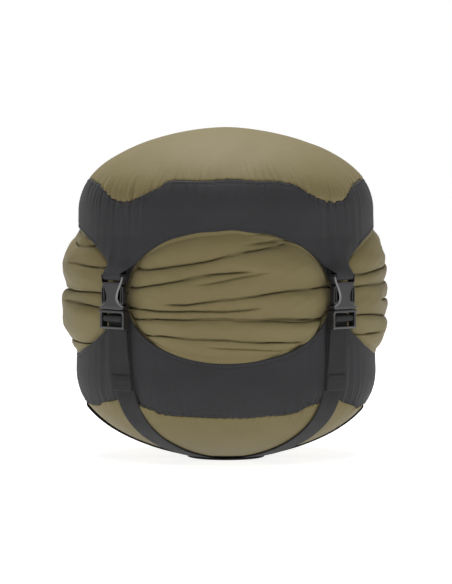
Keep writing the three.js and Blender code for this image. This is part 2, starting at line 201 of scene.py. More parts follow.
# Where the bottom seam runs higher than it should, as (azimuth, rise in millimetres)
SEAM_DRIFT = [(-84, 4.5), (86, 1.8), (170, 2.2)]


def edge_wander(azimuth, size, seed, waves, turns):
    """How far an edge strays from its line, in millimetres."""
    return size * ripples(azimuth, 0 * azimuth, seed, waves, turns, (50, 90))


def seam_wander(azimuth, seed):
    """The slow wander of a seam, and the small teeth that its gathers make."""
    return edge_wander(azimuth, 0.7, seed, 7, (5, 26)) + edge_wander(azimuth, 0.3, seed + 4, 12, (60, 170))


def top_bend(azimuth):
    """0 at the middle of a panel and 1 at a strap, where it is nearly level."""
    away = panel_angle(azimuth)
    return 0.5 * (away / 45) ** 1.6 + 0.5 * smoothstep(away, 25, 41)


def top_seam(azimuth):
    dip = 1.4 * bell(turn_between(azimuth, -30), 6)
    level = TOP_SEAM - TOP_SEAM_DIP * top_bend(azimuth)
    return level + seam_wander(azimuth, 11) - dip + pleat_steps(azimuth, TOP_PLEATS)


def bottom_seam(azimuth):
    drift = sum(rise * bell(turn_between(azimuth, place), 26) for place, rise in SEAM_DRIFT)
    share = panel_angle(azimuth) / 45
    level = BOTTOM_SEAM + BOTTOM_SEAM_RISE * (1.06 * share ** 3 - 0.06 * share ** 12) + drift
    return level + seam_wander(azimuth, 12) + pleat_steps(azimuth, BOTTOM_PLEATS)


def window_reach(azimuth):
    across = np.minimum(panel_angle(azimuth) / WINDOW_HALF_ANGLE, 1)
    return WINDOW_HALF_HEIGHT * np.sqrt(1 - across ** 2)


def window_top(azimuth):
    edge = np.maximum(WINDOW_MIDDLE + window_reach(azimuth), UPPER_TIP)
    return edge + edge_wander(azimuth, 0.35, 13, 6, (6, 30))


def window_bottom(azimuth):
    edge = np.minimum(WINDOW_MIDDLE - window_reach(azimuth), LOWER_TIP)
    return edge + edge_wander(azimuth, 0.35, 14, 6, (6, 30))


# ---- Making meshes ----
def azimuths():
    return np.arange(AROUND) * 360 / AROUND


def placed(name, data):
    obj = bpy.data.objects.new(name, data)
    bpy.context.scene.collection.objects.link(obj)
    return obj


def mesh_object(name, points_mm, faces, material, uv=None):
    """One mesh object from points in millimetres and faces by index. uv is one pair for each point."""
    mesh = bpy.data.meshes.new(name)
    mesh.from_pydata((np.asarray(points_mm) * 0.001).tolist(), [], [list(map(int, f)) for f in faces])
    if uv is not None:
        layer = mesh.uv_layers.new(name="cloth")
        corner = np.empty(len(mesh.loops), int)
        mesh.loops.foreach_get("vertex_index", corner)
        layer.data.foreach_set("uv", np.asarray(uv, np.float32)[corner].ravel())
    mesh.polygons.foreach_set("use_smooth", [True] * len(mesh.polygons))
    mesh.update()
    mesh.materials.append(material)
    return placed(name, mesh)


def dress(obj, slot, body, *nodes):
    """Hides the CAD nodes that a piece stands for, and puts it on the body that it rides on. The slot
    argument is not used.
    """
    if nodes:
        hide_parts(*nodes)
    if body:
        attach(obj, body)
    return obj


def ring_faces(rows, columns, closed_rows):
    """Quads of a grid that wraps round its columns, and round its rows too where it is closed."""
    row = np.arange(rows if closed_rows else rows - 1)
    r, c = np.meshgrid(row, np.arange(columns), indexing="ij")
    r2, c2 = (r + 1) % rows, (c + 1) % columns
    quads = np.stack([r * columns + c, r * columns + c2, r2 * columns + c2, r2 * columns + c], -1)
    return quads.reshape(-1, 4).tolist()


def tube_faces(rows, columns):
    """Faces of a tube of rows, closed by a cap at each end."""
    faces = ring_faces(rows, columns, False)
    faces.append(list(range(columns)))
    faces.append([(rows - 1) * columns + c for c in range(columns)][::-1])
    return faces


def outward(obj):
    """Turns the faces of a closed mesh outward."""
    bm = bmesh.new()
    bm.from_mesh(obj.data)
    bmesh.ops.recalc_face_normals(bm, faces=bm.faces)
    bm.to_mesh(obj.data)
    bm.free()
    return obj


def tube(name, points, across, along, material):
    """A closed tube through a grid of points. across and along are their places on the cloth."""
    shape = points.shape[:2]
    uv = np.stack([np.broadcast_to(across, shape), np.broadcast_to(along, shape)], -1)
    return outward(mesh_object(name, points.reshape(-1, 3), tube_faces(*shape), material, uv.reshape(-1, 2)))


def directions(line):
    """The way that a line of points runs at each of them."""
    run = np.gradient(line, axis=0)
    return run / np.linalg.norm(run, axis=1)[:, None]


def round_axis(r, azimuth, z):
    """Points at a distance from the axis, an azimuth in degrees and a height."""
    turn = np.radians(azimuth)
    return np.stack(np.broadcast_arrays(r * np.sin(turn), -r * np.cos(turn), z), -1)


def ways(azimuth):
    """The way out from the axis and the way across it, at an azimuth in degrees."""
    turn = math.radians(float(azimuth))
    return np.array([math.sin(turn), -math.cos(turn), 0]), np.array([math.cos(turn), math.sin(turn), 0])


def lengths_along(places):
    """The distance along a line of points from its start to each of them."""
    return np.concatenate([[0], np.cumsum(np.linalg.norm(np.diff(places, axis=0), axis=1))])


def shell_object(name, r, z, material, domed=False, radius=LOWER_RADIUS):
    """A cloth shell round the axis, from grids with a row for each point of its outline.

    A domed shell starts and ends at the axis, and any other closes on itself. The cloth of the
    second kind is as wide as a circle of the radius.
    """
    rows, columns = r.shape
    azimuth = np.arange(columns) * 360 / columns
    points = round_axis(r, azimuth, z)
    turn = np.radians(azimuth)[None, :]
    steps = np.hypot(np.diff(r, axis=0, prepend=r[:1]), np.diff(z, axis=0, prepend=z[:1]))
    along = np.cumsum(steps, axis=0)
    faces = ring_faces(rows, columns, not domed)
    if domed:
        reach = np.minimum(along, along[-1:] - along)
        uv = np.stack([reach * np.sin(turn), reach * np.cos(turn)], -1)
        last = (rows - 1) * columns
        faces.append(list(range(columns))[::-1])
        faces.append(list(range(last, last + columns)))
    else:
        uv = np.stack([np.broadcast_to(turn * radius, r.shape), along], -1)
    return mesh_object(name, points.reshape(-1, 3), faces, material, uv.reshape(-1, 2))


def backed(r, z, thickness, inner_rows):
    """Closes an outer face of rows, from low to high, into a thin shell."""
    picks = np.linspace(len(r) - 1, 0, inner_rows).round().astype(int)
    dr, dz = np.gradient(r, axis=0), np.gradient(z, axis=0)
    length = np.maximum(np.hypot(dr, dz), 1e-9)
    back_r = r - thickness * dz / length
    back_z = z + thickness * dr / length
    return np.concatenate([r, back_r[picks]]), np.concatenate([z, back_z[picks]])


def rolled_edge(distance, width):
    """How far an edge rolls in, 0 to 1, from its distance to the edge."""
    return 1 - np.sqrt(1 - np.clip(1 - distance / width, 0, 1) ** 2)


# ---- Materials ----
class Look:
    """A material in the making. Its methods add nodes and give back the socket to go on from."""

    def __init__(self, name, colour, roughness, specular, sheen=0.0):
        self.material = bpy.data.materials.new(name)
        self.material.use_nodes = True
        self.nodes = self.material.node_tree.nodes
        self.links = self.material.node_tree.links
        self.inputs = self.nodes["Principled BSDF"].inputs
        self.inputs["Roughness"].default_value = roughness
        self.inputs["Base Color"].default_value = (*colour, 1)
        self.inputs["Specular IOR Level"].default_value = specular
        self.inputs["Sheen Weight"].default_value = sheen
        self.inputs["Sheen Roughness"].default_value = 0.5
        self.place = self.nodes.new("ShaderNodeTexCoord").outputs["Object"]
        cloth = self.nodes.new("ShaderNodeUVMap")
        cloth.uv_map = "cloth"
        self.cloth = cloth.outputs["UV"]

    def math(self, operation, first, second=0.0):
        node = self.nodes.new("ShaderNodeMath")
        node.operation = operation
        for socket, value in zip(node.inputs, (first, second)):
            if isinstance(value, (int, float)):
                socket.default_value = value
            else:
                self.links.new(value, socket)
        return node.outputs[0]

    def noise(self, scale, detail, roughness=0.5, vector=None):
        node = self.nodes.new("ShaderNodeTexNoise")
        node.inputs["Scale"].default_value = scale
        node.inputs["Detail"].default_value = detail
        node.inputs["Roughness"].default_value = roughness
        self.links.new(vector or self.place, node.inputs["Vector"])
        return node.outputs[0]

    def weave(self, across, along):
        """Over-and-under threads: one wave across the cloth and one along it, in millimetres."""
        separate = self.nodes.new("ShaderNodeSeparateXYZ")
        self.links.new(self.cloth, separate.inputs[0])
        turns = [self.math("MULTIPLY", separate.outputs[axis], 2 * math.pi / pitch)
                 for axis, pitch in (("X", across), ("Y", along))]
        return self.math("MULTIPLY", *(self.math("SINE", turn) for turn in turns))

    def streaks(self, across, along):
        """Uneven threads: noise drawn out along the cloth's width."""
        mapping = self.nodes.new("ShaderNodeMapping")
        mapping.inputs["Scale"].default_value = (across, along, 1)
        self.links.new(self.cloth, mapping.inputs["Vector"])
        return self.noise(1.0, 2, vector=mapping.outputs["Vector"])

    def tint(self, dark, light, mottle):
        """Base colour from dark to light over the middle of a noise."""
        ramp = self.nodes.new("ShaderNodeValToRGB")
        for stop, position, colour in zip(ramp.color_ramp.elements, (0.3, 0.7), (dark, light)):
            stop.position = position
            stop.color = (*colour, 1)
        self.links.new(mottle, ramp.inputs["Fac"])
        self.links.new(ramp.outputs["Color"], self.inputs["Base Color"])

    def bumps(self, *layers):
        """Layers of (height socket, strength, distance in metres), each on top of the one before."""
        normal = None
        for height, strength, distance in layers:
            bump = self.nodes.new("ShaderNodeBump")
            bump.inputs["Strength"].default_value = strength
            bump.inputs["Distance"].default_value = distance
            self.links.new(height, bump.inputs["Height"])
            if normal:
                self.links.new(normal, bump.inputs["Normal"])
            normal = bump.outputs["Normal"]
        self.links.new(normal, self.inputs["Normal"])


def cloth_material(name, dark, light, roughness, sheen, pitch, weave_depth):
    look = Look(name, light, roughness, 0.18, sheen)
    threads = look.streaks(0.12, 2.2)
    mottled = look.math("MULTIPLY", look.noise(20, 4, 0.6), 0.45)
    look.tint(dark, light, look.math("ADD", look.math("MULTIPLY", threads, 0.55), mottled))
    crinkle = look.noise(130, 4, 0.6)
    look.bumps((crinkle, 0.22, 0.0008), (threads, 0.3, 0.0001), (look.weave(pitch, pitch), 0.35, weave_depth))
    return look.material


def webbing_material():
    look = Look("webbing", (0.024, 0.024, 0.025), 0.75, 0.2, 0.04)
    look.tint((0.019, 0.019, 0.020), (0.027, 0.027, 0.0285), look.noise(60, 3))
    look.bumps((look.noise(900, 2), 0.25, 0.0004), (look.weave(2.2, 1.2), 0.6, 0.0003))
    return look.material


def acetal_material(name, dark, light):
    look = Look(name, light, 0.28, 0.45)
    look.tint(dark, light, look.noise(120, 3))
    look.bumps((look.noise(1600, 2), 0.25, 0.0002))
    return look.material


def thread_material():
    look = Look("thread", (0.03, 0.03, 0.031), 0.7, 0.5)
    look.tint((0.022, 0.022, 0.023), (0.042, 0.042, 0.044), look.noise(800, 2))
    look.bumps((look.noise(3000, 1), 0.4, 0.0002))
    return look.material


OLIVE = cloth_material(
    "olive_cloth", (0.148, 0.120, 0.053), (0.176, 0.144, 0.066), 0.62, 0.04, 0.55, 0.00008)
CHARCOAL = cloth_material(
    "charcoal_cloth", (0.0245, 0.0245, 0.0262), (0.0318, 0.0318, 0.0342), 0.72, 0.03, 0.7, 0.00012)
WEBBING_LOOK = webbing_material()
ACETAL = acetal_material("acetal", (0.012, 0.012, 0.0127), (0.016, 0.016, 0.017))
# A paler copy of the same acetal, used only on the scoop's chamfer: a painted highlight, not a colour that
# the plastic has.
ACETAL_PAINTED_HIGHLIGHT = acetal_material("acetal_painted_highlight", (0.15, 0.15, 0.156), (0.2, 0.2, 0.208))
THREAD = thread_material()


# ---- Creases of the side wall ----
# Each crease is (start angle, end angle, start height, end height, bow, depth): angles from the
# middle of its panel in degrees, heights in millimetres, and bow is how far its middle rises.
FRONT_CREASES = [
    (-38, 26, 170.5, 192, -2.0, 1.0), (5, 31, 191.5, 194.5, 0.6, 0.6),
    (-38, 9, 154.5, 169, 1.5, 0.9), (-13, 15, 158.5, 168.5, -1.0, 0.35),
    (-24, 40, 141, 154.5, 1.4, 1.0),
    (-38, 12, 137, 138, -1.2, 0.9),
    (-36, 39, 128.5, 129, 1.4, 1.0), (-1, 36, 129.5, 127, -0.8, 0.7),
    (-36, 31, 115, 109, 0.4, 0.85), (-10, 26, 106, 102.5, -0.6, 0.3),
]
RIGHT_CREASES = [
    (-34, 8, 164.5, 172, 0.6, 1.1), (-42, 12, 154, 157, 0.6, 1.1),
    (-20, 12, 141, 140.5, 0.8, 1.0), (-42, 12, 129, 121, 3.2, 1.2),
    (-38, -16, 111.5, 113, 0.4, 0.7), (-12, 14, 183.5, 184.5, 0.3, 0.8),
    (-12, 12, 110, 107, 0.3, 0.8),
    (4, 40, 166, 174, -1.5, 0.9), (2, 40, 156, 150, 1.5, 1.0),
    (8, 39, 126, 138, -1.5, 1.0), (6, 34, 112, 109, 1.0, 0.9), (8, 30, 184, 188, 0.6, 0.6),
]
BACK_CREASES = [
    (-38, 14, 139, 152, 1.0, 1.0), (-20, 40, 168, 160, 1.5, 1.0),
    (-38, 4, 166, 177, 1.0, 0.9), (-4, 36, 184, 176, 0.5, 0.7),
    (-38, 32, 129, 125, -1.2, 1.0), (4, 40, 146, 150, 1.0, 0.9),
    (-36, 24, 115, 110, -1.0, 0.8), (-10, 39, 137, 134, 0.8, 0.7),
    (-14, 18, 191, 189, 1.0, 0.5),
]
LEFT_CREASES = [
    (-8, 20, 193.5, 187, 0, 1.1), (16, 36, 187, 191, 0, 1.0),
    (13, 42, 172.5, 169.5, 0.5, 1.0), (-20, 42, 150, 149, 0.6, 1.25),
    (10, 42, 140, 136, 0.5, 0.9), (-18, 34, 107, 104, 0.3, 1.2),
    (-40, -6, 163, 175, 1.0, 1.0), (-40, -4, 139, 146, -0.5, 1.0),
    (-38, -6, 127, 119, 1.0, 1.0), (-30, -6, 186, 188, 1.0, 0.6),
]
PANEL_CREASES = [(0, FRONT_CREASES), (90, RIGHT_CREASES), (180, BACK_CREASES), (270, LEFT_CREASES)]
VALLEY_DEPTH, VALLEY_ABOVE, VALLEY_BELOW = 6.8, 11, 7
CUT_DEPTH, CUT_WIDTH = 4.2, 0.9
EDGE_TUCK, EDGE_REACH = 2.4, 1.5
LIP_DROP, LIP_REACH = 1.7, 1.0
TUCK_DROP, TUCK_REACH = 1.2, 2.0
CROWDING, CROWDING_REACH = 0.75, 3.5


def crease_lines(azimuth):
    """The height and the strength of each crease at each azimuth."""
    for middle, creases in PANEL_CREASES:
        angle = turn_between(azimuth, middle)
        for start, end, z_start, z_end, bow, depth in creases:
            share = np.clip((angle - start) / (end - start), 0, 1)
            line = mix(z_start, z_end, smoothstep(share, 0, 1)) + bow * np.sin(math.pi * share)
            line = line + 0.3 * np.sin(angle / 3.6 + z_start) + 0.08 * np.sin(angle / 1.3 + z_end)
            fade = min(9, 0.3 * (end - start))
            early, late = (8, 0) if start < -33 else (1, fade), (8, 0) if end > 33 else (1, fade)
            fade_in = smoothstep(angle, start - early[0], start + early[1])
            fade_out = 1 - smoothstep(angle, end - late[1], end + late[0])
            yield line, depth * fade_in * fade_out


def crowd_rows(azimuth, z):
    """Draws the rows of the wall's grid together at the creases, where the shape is sharpest."""
    for line, strength in crease_lines(azimuth):
        away = z - line
        pull = CROWDING * np.minimum(strength * 1.4, 1) * np.exp(-np.abs(away) / CROWDING_REACH)
        z = line + away * (1 - pull)
    return z


def shoulder(distance, reach):
    """The round shoulder of a fold: 1 in the crease, and 0 on top of the fold."""
    return 0.55 * np.exp(-1.5 * distance / reach) + 0.45 * rolled_edge(distance, reach)


def crease_shape(azimuth, z):
    """How far the creases pull the wall in, and how far they shift it down.

    Above a crease the cloth swells and its lip hangs over the line, and below it the cloth
    comes out from under the lip.
    """
    valley, cut, drop = 0, 0, 0
    for line, strength in crease_lines(azimuth):
        away = z - line
        above, below = np.maximum(away, 0), np.maximum(-away, 0)
        side = np.where(away > 0, shoulder(above, VALLEY_ABOVE), shoulder(below, VALLEY_BELOW))
        valley = valley + strength * side
        cut = np.maximum(cut, strength * bell(away, CUT_WIDTH))
        lip = (above / LIP_REACH) * np.exp(1 - above / LIP_REACH)
        tuck = np.exp(-below / TUCK_REACH) * (1 - np.exp(-below / 0.3))
        drop = drop + strength * (LIP_DROP * lip + TUCK_DROP * tuck)
    return VALLEY_DEPTH * (1 - np.exp(-1.2 * valley)) + CUT_DEPTH * np.minimum(cut, 1), drop


def edge_distance(edge, z):
    """The distance along the cloth from each point to a window's edge, in millimetres."""
    step = 2 * math.pi * LOWER_RADIUS / AROUND
    slope = (np.roll(edge, -1, axis=1) - np.roll(edge, 1, axis=1)) / (2 * step)
    return np.abs(z - edge) / np.hypot(1, slope)


def make_side_wall():
    azimuth = azimuths()[None, :]
    window_rows = 210
    low, high = window_bottom(azimuth), window_top(azimuth)
    foot = bottom_seam(azimuth) + 3
    parts = [mix(foot, low, np.linspace(0, 1, 7)[:-1, None])]
    parts.append(crowd_rows(azimuth, mix(low, high, np.linspace(0, 1, window_rows)[:, None])))
    parts.append(mix(high, WALL_TOP, np.linspace(0, 1, 9)[1:, None]))
    z = np.concatenate([np.broadcast_to(p, (len(p), AROUND)) for p in parts])
    share = np.clip((z - low) / (high - low), 0, 1)
    open_part = 1 - np.abs(2 * share - 1) ** 4
    sides = 1 - (panel_angle(azimuth) / 45) ** 3
    pull_in, drop = crease_shape(azimuth, z)
    in_window = smoothstep(open_part, 0.02, 0.3)
    rolls = 0.7 * ripples(azimuth, z, 21, 10, (3, 9), (22, 40))
    rumple = rolls + 0.16 * ripples(azimuth, z, 22, 14, (16, 50), (9, 18))
    bulge = WALL_REACH - 128.2 + WALL_SET_BACK
    tuck = EDGE_TUCK * np.exp(-np.minimum(edge_distance(low, z), edge_distance(high, z)) / EDGE_REACH)
    face = bulge * open_part * sides + open_part * rumple - in_window * pull_in - tuck
    r = outside(azimuth, z) - WALL_SET_BACK + face
    r[:6] = r[:6] - 0.8 * np.linspace(1, 0, 6)[:, None]
    z = z - in_window * drop
    r, z = backed_inside(r, z, 1.0, 14)
    wall = shell_object("side_wall_cloth", r, z, OLIVE)
    dress(wall, "olive_cloth", None, "side_wall")
    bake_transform(wall)


def backed_inside(r, z, thickness, inner_rows):
    """Backs a creased face with a smooth one, behind its deepest creases."""
    picks = np.linspace(len(r) - 1, 0, inner_rows).round().astype(int)
    smooth = r.copy()
    for _ in range(40):
        smooth[1:-1] = (smooth[:-2] + smooth[1:-1] + smooth[2:]) / 3
    deepest = np.minimum(smooth, r)
    for _ in range(12):
        deepest[1:-1] = np.minimum(deepest[1:-1], (deepest[:-2] + deepest[2:]) / 2)
    back_r = deepest[picks] - thickness
    back_r[[0, -1]] = r[picks][[0, -1]] - thickness
    return np.concatenate([r, back_r]), np.concatenate([z, z[picks]])


# ---- Bands ----
BANDS = {
    "upper": {"low": window_top, "high": top_seam, "seed": 41},
    "lower": {"low": bottom_seam, "high": window_bottom, "seed": 31},
}


def band_face(which, azimuth, z):
    """Radius of a band's outside. Its seam is drawn in by puckers, and each edge has a stitch line."""
    band = BANDS[which]
    low, high, seed = band["low"](azimuth), band["high"](azimuth), band["seed"]
    from_seam, from_window = (high - z, z - low) if which == "upper" else (z - low, high - z)
    near_strap = smoothstep(panel_angle(azimuth), 20, 42)
    puckers = ripples(azimuth, z, seed, 16, (70, 190), (60, 200))
    folds = ripples(azimuth, z, seed + 2, 9, (36, 84), (120, 300))
    broad = ripples(azimuth, z, seed + 1, 10, (4, 14), (50, 120))
    r = outside(azimuth, z)
    r = r + (0.75 + 0.6 * near_strap) * puckers * np.exp(-np.maximum(from_seam, 0) / 10)
    r = r + 0.5 * broad * smoothstep(from_window, 2, 14)
    r = r + 0.5 * near_strap * folds * smoothstep(from_window, 1, 8)
    r = r - 0.35 * bell(from_window - 3.2, 0.9) - 0.3 * bell(from_seam - 3.0, 0.9)
    return r


def make_band(which, name, node, body):
    azimuth = azimuths()[None, :]
    band = BANDS[which]
    low, high = band["low"](azimuth), band["high"](azimuth)
    steps = np.linspace(0, 1, 76)[:, None]
    share = steps - 0.08 * np.sin(2 * math.pi * steps)
    z = mix(low, high, share)
    edge = np.minimum(z - low, high - z)
    r = band_face(which, azimuth, z) - 1.1 * rolled_edge(edge, 1.3)
    r, z = backed(r, z, 1.0, 14)
    dress(shell_object(name, r, z, CHARCOAL), "charcoal_cloth", body, node)


# ---- Domed end panels ----
# The inside of a panel is drawn in from its outside towards this height on the axis.
DOME_MIDDLE, DOME_THICKNESS = 100, 1
# The edge of an end panel that is turned in behind the band, as depths past the seam
FLANGE_DEPTHS = [-0.15, 0.4, 1.2, 2.0]
EDGE_ROLL, BEHIND_BAND = 1.1, 1.3


def seam_flange(which, azimuth, rim):
    """The edge of an end panel, turned in behind the band at their seam."""
    into = -1 if which == "upper" else 1
    seam = top_seam(azimuth) if which == "upper" else bottom_seam(azimuth)
    depth = np.array(FLANGE_DEPTHS)[:, None]
    level = seam + into * depth
    roll = EDGE_ROLL * rolled_edge(np.maximum(depth, 0), 1.3)
    behind = band_face(which, azimuth, level) - roll - BEHIND_BAND
    return np.minimum(rim, behind), level


def make_dome(name, top, node, body, seed):
    azimuth = azimuths()[None, :]
    up, radius = (1, UPPER_RADIUS) if top else (-1, LOWER_RADIUS)
    start = UPPER_DOME_BASE if top else LOWER_DOME_TOP
    height = (SACK_HEIGHT - start) if top else start
    seam_rise = up * ((top_seam if top else bottom_seam)(azimuth) - start)
    rim = dome_radius(seam_rise + 0.15, radius, height)
    steps = np.linspace(0, 1, 110)[:, None]
    share = np.maximum(np.sin(steps * math.pi / 2) ** 0.9, 0.002)
    flat_r = share * rim
    rise = dome_rise(flat_r, radius, height)
    from_seam = (1 - share) * rim
    near_strap = smoothstep(panel_angle(azimuth), 22, 42)
    puckers = ripples(azimuth, rise, seed, 16, (70, 190), (60, 200)) * np.exp(-from_seam / 8)
    swell = (0.7 + 0.6 * near_strap) * puckers
    swell = swell + 0.9 * share * ripples(azimuth, 0.6 * flat_r, seed + 1, 9, (2, 7), (60, 140))
    small = ripples(azimuth, flat_r, seed + 2, 12, (6, 20), (25, 60))
    swell = swell + 0.35 * small * smoothstep(share, 0.3, 0.8)
    if not top:
        swell = swell * smoothstep(flat_r, 60, 105) * 0.7
    swell = swell - 1.3 * rolled_edge(from_seam, 1.4)
    outward = smoothstep(share, 0.2, 1.0)
    z = start + up * (rise + swell * (1 - outward))
    r = flat_r - strap_groove(azimuth, z) * smoothstep(share, 0, 0.3) + swell * outward
    r = np.maximum(r, 0.2)
    if not top:
        z = np.maximum(z, BASE_FLAT)
    flange_r, flange_z = seam_flange("upper" if top else "lower", azimuth, r[-1:])
    r, z = np.concatenate([r, flange_r]), np.concatenate([z, flange_z])
    picks = np.linspace(len(r) - 1, 0, 24).round().astype(int)
    keep = 1 - DOME_THICKNESS / np.hypot(r, z - DOME_MIDDLE)
    r = np.concatenate([r, (r * keep)[picks]])
    z = np.concatenate([z, mix(DOME_MIDDLE, z, keep)[picks]])
    if top:
        r, z = r[::-1], z[::-1]
    dress(shell_object(name, r, z, OLIVE, domed=True), "olive_cloth", body, node)


# ---- The mouth under the lid ----
def make_mouth():
    azimuth = azimuths()[None, ::2]
    line = [
        (COLLAR_RADIUS + 2.4, COLLAR_FOOT - 2.5), (COLLAR_RADIUS + 2.6, COLLAR_FOOT + 1),
        (COLLAR_RADIUS + 1.6, COLLAR_FOOT + 5), (COLLAR_RADIUS - 6, NECK_TOP - 30),
        (COLLAR_RADIUS - 24, NECK_TOP - 25), (NECK_RADIUS + 26, NECK_TOP - 21),
        (NECK_RADIUS + 8, NECK_TOP - 19), (NECK_RADIUS + 1, NECK_TOP - 14),
        (NECK_RADIUS, NECK_TOP - 6), (NECK_RADIUS, NECK_TOP),
    ]
    outline = np.array(smooth_line(line, 10))
    drawn = smoothstep(outline[:, 0], COLLAR_RADIUS, NECK_RADIUS)[:, None]
    gathers = ripples(azimuth, outline[:, 1:] * 0, 71, 14, (22, 60), (50, 90))
    fine = ripples(azimuth, outline[:, 1:] * 0, 72, 14, (60, 110), (50, 90))
    height = drawn * (1.1 * gathers + 0.5 * fine)
    collar_shell("mouth_collar_cloth", outline, height, OLIVE, "olive_cloth", "mouth_collar", 1.0)
    turns = np.linspace(-math.pi / 2, math.pi / 2, 16)
    out = NECK_RADIUS - 0.65 + 1.9 * np.cos(turns)
    outline = np.stack([out, mix(HEM_FOOT, HEM_TOP, 0.5 + 0.5 * np.sin(turns))], -1)
    collar_shell("mouth_hem_cloth", outline, height[-1:], CHARCOAL, "charcoal_cloth", "mouth_hem", 2.4, True)


def collar_shell(name, outline, height, material, slot, node, thickness, upright=False):
    """A thin shell turned from an outline, lifted off its face by heights, or outward if it is upright."""
    run = directions(outline)
    out = np.tile((1.0, 0.0), (len(run), 1)) if upright else np.stack([run[:, 1], -run[:, 0]], -1)
    r = outline[:, :1] + out[:, :1] * height
    z = outline[:, 1:] + out[:, 1:] * height
    r = np.concatenate([r, (r - thickness * out[:, :1])[::-1]])
    z = np.concatenate([z, (z - thickness * out[:, 1:])[::-1]])
    dress(shell_object(name, r, z, material, radius=NECK_RADIUS), slot, "mouth", node)


def smooth_line(points, steps):
    """A smooth line through points, with a number of steps from each to the next."""
    padded = np.array([points[0], *points, points[-1]], float)
    line = []
    for a, b, c, d in zip(padded, padded[1:], padded[2:], padded[3:]):
        for step in range(steps):
            t = step / steps
            square, cube = 2 * a - 5 * b + 4 * c - d, 3 * b - a - 3 * c + d
            line.append(0.5 * (2 * b + (c - a) * t + square * t ** 2 + cube * t ** 3))
    return [tuple(point) for point in line] + [tuple(points[-1])]


def filleted(points, radius, steps=5, closed=False):
    """A line through points whose corners are rounded, each by a curve that cuts it off at a radius."""
    line = []
    count = len(points)
    for i, corner in enumerate(points):
        if not closed and i in (0, count - 1):
            line.append(tuple(map(float, corner)))
            continue
        corner = np.array(corner, float)
        before, after = np.array(points[i - 1], float), np.array(points[(i + 1) % count], float)
        ends = []
        for other in (before, after):
            length = np.linalg.norm(other - corner)
            ends.append(corner + (other - corner) / length * min(radius, 0.45 * length))
        for step in range(steps + 1):
            t = step / steps
            point = (1 - t) ** 2 * ends[0] + 2 * t * (1 - t) * corner + t ** 2 * ends[1]
            line.append(tuple(point))
    return line


# ---- Webbing ----
def lean_at(strap, z):
    """How far a strap has turned towards the middle of its panel at a height, in degrees."""
    return LEANS[strap] * (1 - smoothstep(z, LEAN_FOOT, LEAN_TOP))


def section_of(width, thickness):
    """The outline of a flat strip, with round edges, as [across, out of its face] points."""
    half, edge = width / 2, thickness / 2
    flat = np.linspace(-(half - edge), half - edge, 13)
    turns = np.linspace(math.pi / 2, -math.pi / 2, 7)[1:-1]
    front = [(x, edge) for x in flat]
    right = [(half - edge + edge * math.cos(t), edge * math.sin(t)) for t in turns]
    return np.array(front + right + [(-x, -y) for x, y in front] + [(-x, -y) for x, y in right])


def webbing_strip(name, frames, width=WEBBING_WIDTH):
    """Sweeps a strip. Each frame is its place, the way across and the way out of its face."""
    section = section_of(width, WEBBING)
    places, across, out = (np.array(part)[:, None] for part in zip(*frames))
    points = places + across * section[:, :1] + out * section[:, 1:]
    return tube(name, points, section[:, 0], lengths_along(places[:, 0])[:, None], WEBBING_LOOK)


def upright_frames(path, azimuth_at):
    """Frames along a path of [distance out, height] points that stands at an azimuth for each height."""
    frames = []
    for (out, z), (d_out, d_z) in zip(path, directions(np.array(path, float))):
        radial, across = ways(azimuth_at(z))
        up = np.array([0, 0, 1.0])
        frames.append((out * radial + z * up, across, d_z * radial - d_out * up))
    return frames


def skin_path(azimuth_at, start_radius, top, offset):
    """Points that follow the sack's outside from under the base up to a height."""
    curve_top = min(top, LOWER_DOME_TOP)
    heights = [mix(BASE_FLAT, curve_top, 1 - math.cos(t)) for t in np.linspace(0, math.pi / 2, 60)]
    first = float(outside(azimuth_at(BASE_FLAT), BASE_FLAT + 0.01))
    path = [(mix(start_radius, first, t), BASE_FLAT) for t in np.linspace(0, 1, 16)[:-1]]
    path += [(float(outside(azimuth_at(z), z)), z) for z in heights]
    if top > LOWER_DOME_TOP:
        path += [(float(outside(azimuth_at(z), z)), z) for z in np.linspace(curve_top, top, 26)[1:]]
    run = directions(np.array(path))
    return path + offset * np.stack([run[:, 1], -run[:, 0]], -1)


def make_straps():
    for strap, azimuth in STRAPS.items():
        def azimuth_at(z):
            return azimuth + lean_at(strap, z)
        path = skin_path(azimuth_at, PATCH_RADIUS - 6, ANCHOR_TOP, 1.0)
        anchor = webbing_strip(f"anchor_webbing_{strap}", upright_frames(path, azimuth_at))
        dress(anchor, "webbing", None, f"anchor_strap_{strap}")
        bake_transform(anchor)
        make_tail(strap, azimuth_at)
        make_hanger(strap, azimuth)


TAIL_HEM = 14
# The webbing's middle line round the ladder bar
LOOP_OUT = BUCKLE_BACK + 6.15
LOOP_TOP, LOOP_FOOT = 129.25, 125.35


